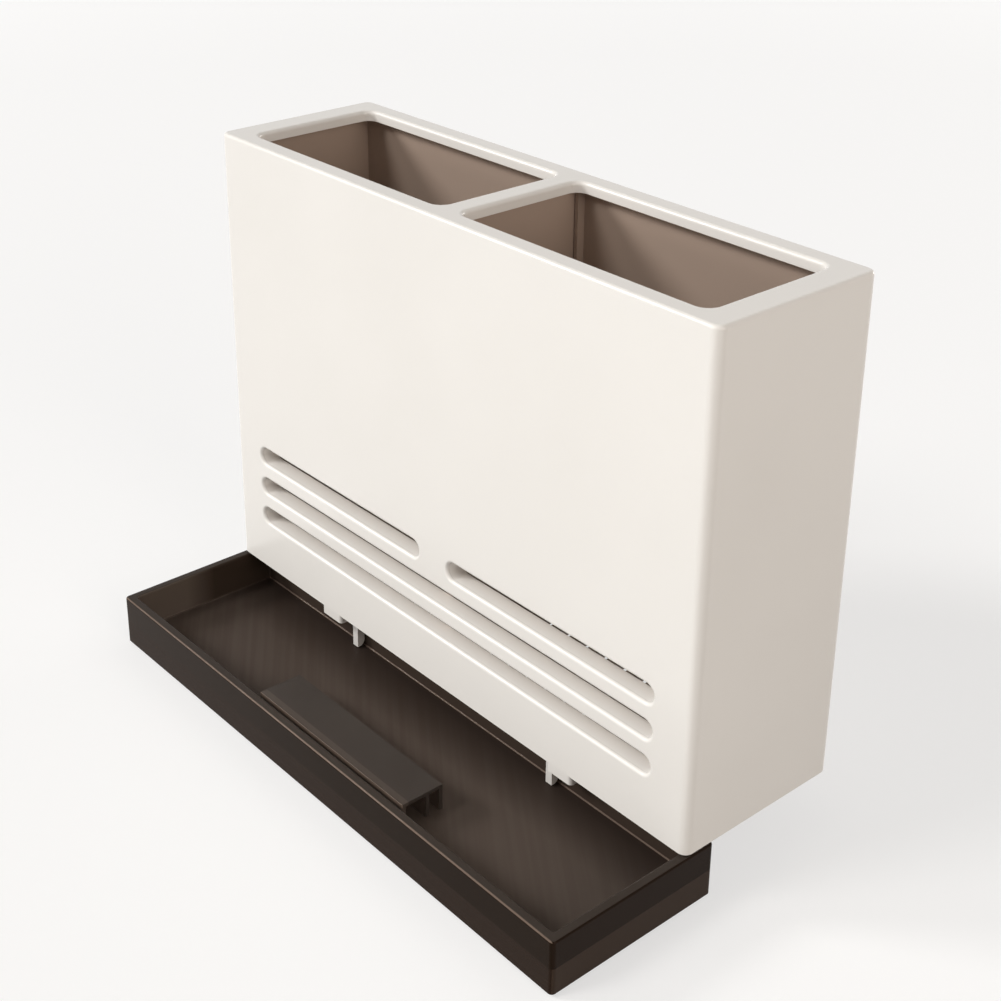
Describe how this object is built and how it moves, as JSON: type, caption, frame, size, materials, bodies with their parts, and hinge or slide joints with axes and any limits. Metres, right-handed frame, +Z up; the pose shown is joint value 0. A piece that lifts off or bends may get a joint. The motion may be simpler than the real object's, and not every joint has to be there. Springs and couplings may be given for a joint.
{
  "type": "chopstick holder",
  "caption": "Wall-hung plastic chopstick and cutlery box, open on top, with long slots low on its front and a smoked drip tray that slides out under it.",
  "frame": {"origin": "middle of the adhesive pad's rear face, on the wall", "axes": "+X to the right seen from the room, +Y from the room into the wall, +Z up"},
  "size_m": [0.1908, 0.1, 0.154],
  "materials": {
    "white_plastic": "satin gloss",
    "smoked_plastic": "clear smoke brown, polished",
    "runner_plastic": "plain",
    "plate_plastic": "satin",
    "foam": "foam",
    "rubber": "soft"
  },
  "bodies": {
    "wall_mount": {"wall_plate": "plate_plastic", "adhesive_pad": "foam"},
    "holder": {"outer_shell": "white_plastic", "partition": "white_plastic", "drain_base": "white_plastic", "runner_left": "runner_plastic", "runner_right": "runner_plastic", "wall_bumpers": "rubber"},
    "tray": {"drip_tray": "smoked_plastic", "splash_bridge": "smoked_plastic"}
  },
  "joints": [
    {"name": "holder_lift", "type": "slide", "parent": "wall_mount", "child": "holder", "axis": [0, 0, 1], "range_m": [0, 0.013]},
    {"name": "tray_slide", "type": "slide", "parent": "holder", "child": "tray", "axis": [0, 1, 0], "range_m": [0, 0.0413]}
  ]
}
